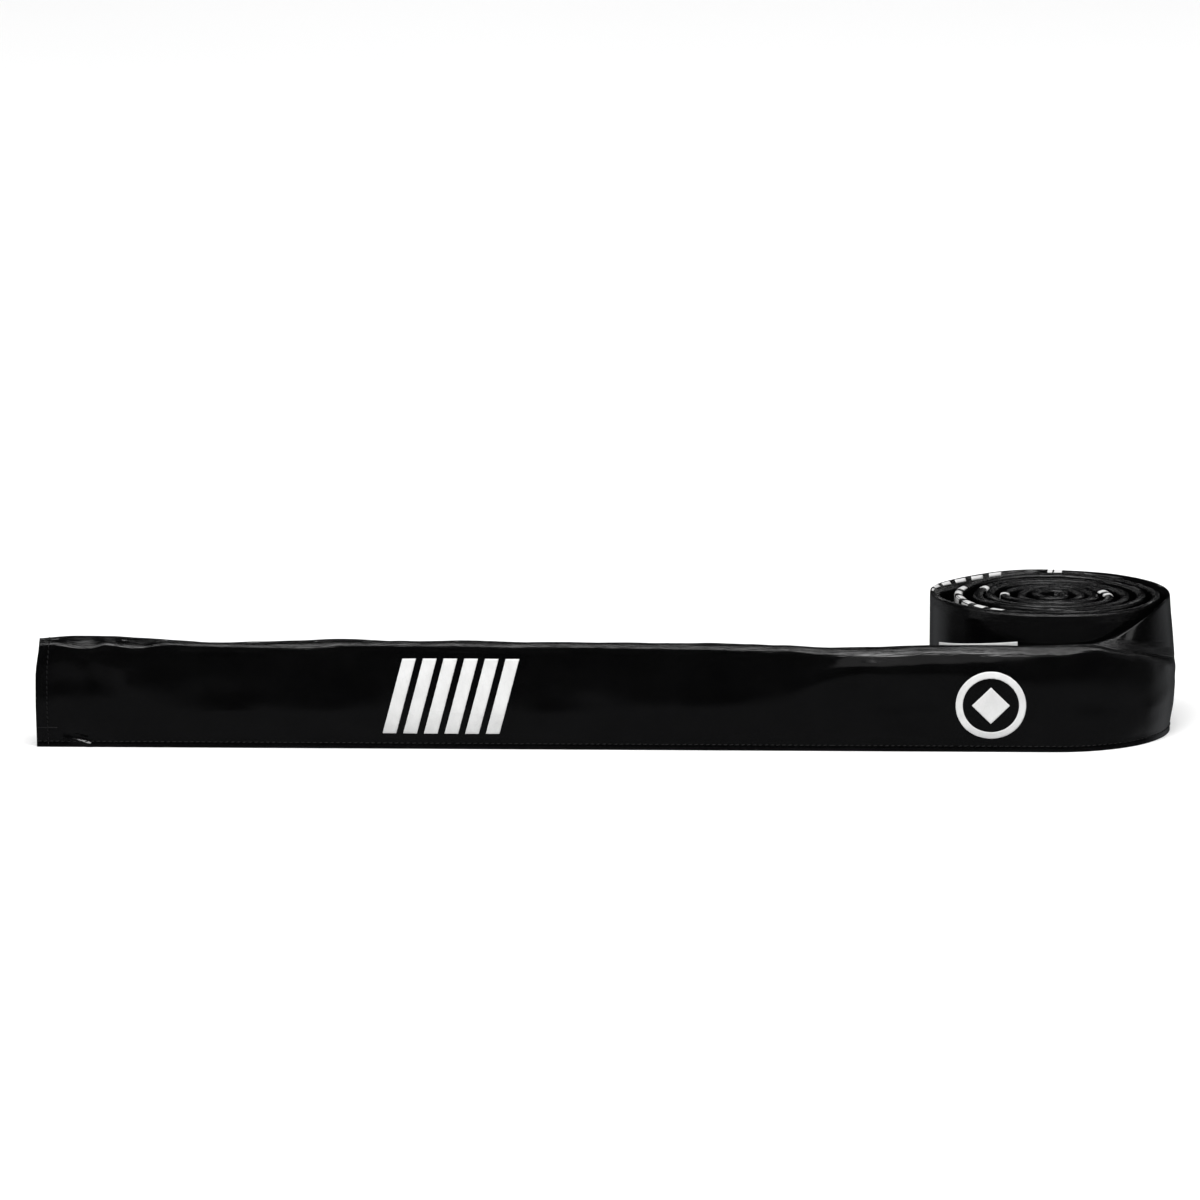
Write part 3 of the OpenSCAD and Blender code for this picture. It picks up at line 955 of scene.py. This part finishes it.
stripes = tail_stripes("stripes_on_tail", start_s=207.0, foot_z=10.0, nodes=["tail_stripes"])
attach(stripes, "tail_3")
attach(badge("badge_on_lead_out", centre_s=570.0, centre_z=29.5, nodes=["lead_out_badge"]), "coil")
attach(wrapped_stripes("stripes_on_turn_1", 208, 8.0, 12.3, 0.8, ["coil_stripes_outer"]), "coil")
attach(wrapped_stripes("stripes_on_turn_2", 612, 8.0, 13.2, 4.0, ["coil_stripes_inner"]), "coil")
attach(ink_flecks_and_edge("ink_on_inner_turns"), "coil")


# ---- floor, light and camera ----


def floor():
    """Pale paper; the gloss of the vinyl doesn't mirror it."""
    mesh = bpy.data.meshes.new("floor")
    half = 14.0
    corners = [(-half, -half, 0), (half, -half, 0), (half, half, 0), (-half, half, 0)]
    mesh.from_pydata(corners, [], [(0, 1, 2, 3)])
    n = Nodes("pale_floor")
    coordinates = n.tree.nodes.new("ShaderNodeTexCoord").outputs["Object"]
    cloud = n.texture("ShaderNodeTexNoise", coordinates, Scale=1.3, Detail=2.0)
    n.link(n.ramp(cloud.outputs["Fac"], [(0.3, 0.86), (0.7, 0.88)]), n.shader.inputs["Base Color"])
    n.shader.inputs["Roughness"].default_value = 0.95
    n.shader.inputs["Specular IOR Level"].default_value = 0.0
    mesh.materials.append(n.material)
    obj = bpy.data.objects.new("floor", mesh)
    obj.location.z = -0.0002  # just under the vinyl, so that the two faces never lie in one plane
    obj.visible_glossy = False
    bpy.context.scene.collection.objects.link(obj)


def aim(obj, target):
    """Turns a light or camera to a point."""
    obj.rotation_euler = (Vector(target) - obj.location).to_track_quat("-Z", "Y").to_euler()


def area_light(name, place, target, size, power):
    """A flat panel of light."""
    data = bpy.data.lights.new(name, "AREA")
    data.shape = "RECTANGLE"
    data.size, data.size_y = size
    data.energy = power
    obj = bpy.data.objects.new(name, data)
    obj.location = place
    bpy.context.scene.collection.objects.link(obj)
    aim(obj, target)


def sun_light(name, place, strength, angle_deg):
    """A wide soft sun, which the gloss of the vinyl doesn't mirror either."""
    data = bpy.data.lights.new(name, "SUN")
    data.energy = strength
    data.angle = radians(angle_deg)
    obj = bpy.data.objects.new(name, data)
    obj.location = place
    obj.visible_glossy = False
    bpy.context.scene.collection.objects.link(obj)
    aim(obj, (0, 0, 0))


def camera():
    """A long lens, from the front and a little above."""
    azimuth, elevation, distance = radians(1.5), radians(11.5), 8.0
    view_w = 0.7215  # the width that the picture covers at the object
    data = bpy.data.cameras.new("camera")
    data.sensor_width = 36.0
    data.lens = data.sensor_width * distance / view_w
    obj = bpy.data.objects.new("camera", data)
    target = Vector((COIL_X - 273.0, COIL_Y, 77.0)) * MM
    level = Vector((np.sin(azimuth), -np.cos(azimuth), 0.0)) * np.cos(elevation)
    obj.location = target + (level + Vector((0.0, 0.0, np.sin(elevation)))) * distance
    bpy.context.scene.collection.objects.link(obj)
    aim(obj, target)
    bpy.context.scene.camera = obj


def world():
    """A dark room with a dim grey table and two pale walls behind: only the gloss of the vinyl shows them."""
    made = bpy.data.worlds.new("studio")
    made.use_nodes = True
    tree = made.node_tree
    split = tree.nodes.new("ShaderNodeSeparateXYZ")
    tree.links.new(tree.nodes.new("ShaderNodeTexCoord").outputs["Generated"], split.inputs["Vector"])

    def fade(source, low, high, to_low, to_high):
        """A smooth change from to_low to to_high while the source grows from low to high."""
        node = tree.nodes.new("ShaderNodeMapRange")
        node.interpolation_type = "SMOOTHSTEP"
        for key, value in zip(("From Min", "From Max", "To Min", "To Max"), (low, high, to_low, to_high)):
            node.inputs[key].default_value = value
        tree.links.new(source, node.inputs["Value"])
        return node.outputs["Result"]

    def combine(operation, first, second=None):
        """One step of arithmetic."""
        node = tree.nodes.new("ShaderNodeMath")
        node.operation = operation
        for source, target in zip((first, second), node.inputs):
            if source is not None:
                tree.links.new(source, target)
        return node.outputs[0]

    table = fade(split.outputs["Z"], -0.36, -0.04, 0.12, 0.008)
    sideways = fade(combine("ABSOLUTE", split.outputs["X"]), 0.3, 0.7, 0.0, 0.16)
    behind = fade(split.outputs["Y"], 0.15, 0.6, 0.0, 1.0)
    low = fade(split.outputs["Z"], -0.1, 0.05, 1.0, 0.0)
    walls = combine("MULTIPLY", combine("MULTIPLY", sideways, behind), low)
    background = tree.nodes["Background"]
    background.inputs["Color"].default_value = (0.95, 0.97, 1.0, 1.0)
    tree.links.new(combine("ADD", table, walls), background.inputs["Strength"])
    bpy.context.scene.world = made


# Area lights, in metres and watts: name, place, what it points at, width and height, power.
LIGHTS = [
    ("front_high", (0.0, -3.3, 5.1), (0.0, 0.0, 0.07), (6.5, 2.2), 440),
    ("front_low", (0.2, -5.0, 3.6), (0.1, 0.0, 0.05), (6.0, 1.4), 12),
    ("right_high", (5.0, -2.0, 5.0), (0.2, 0.0, 0.07), (4.5, 2.2), 85),
    ("left_high", (-5.0, -2.4, 5.0), (0.0, 0.0, 0.07), (4.5, 2.0), 50),
    ("side_left", (-5.5, -2.5, 2.0), (0.0, 0.0, 0.05), (1.2, 3.0), 18),
    ("side_right", (6.0, -1.5, 2.0), (0.2, 0.0, 0.05), (1.2, 3.0), 14),
    ("back", (0.0, 5.0, 2.6), (0.0, 0.0, 0.05), (7.0, 0.35), 14),
]

floor()
world()
sun_light("overhead", (0.0, -1.0, 2.3), 1.9, 70)
for light in LIGHTS:
    area_light(*light)
camera()
bpy.context.scene.view_settings.view_transform = "Standard"
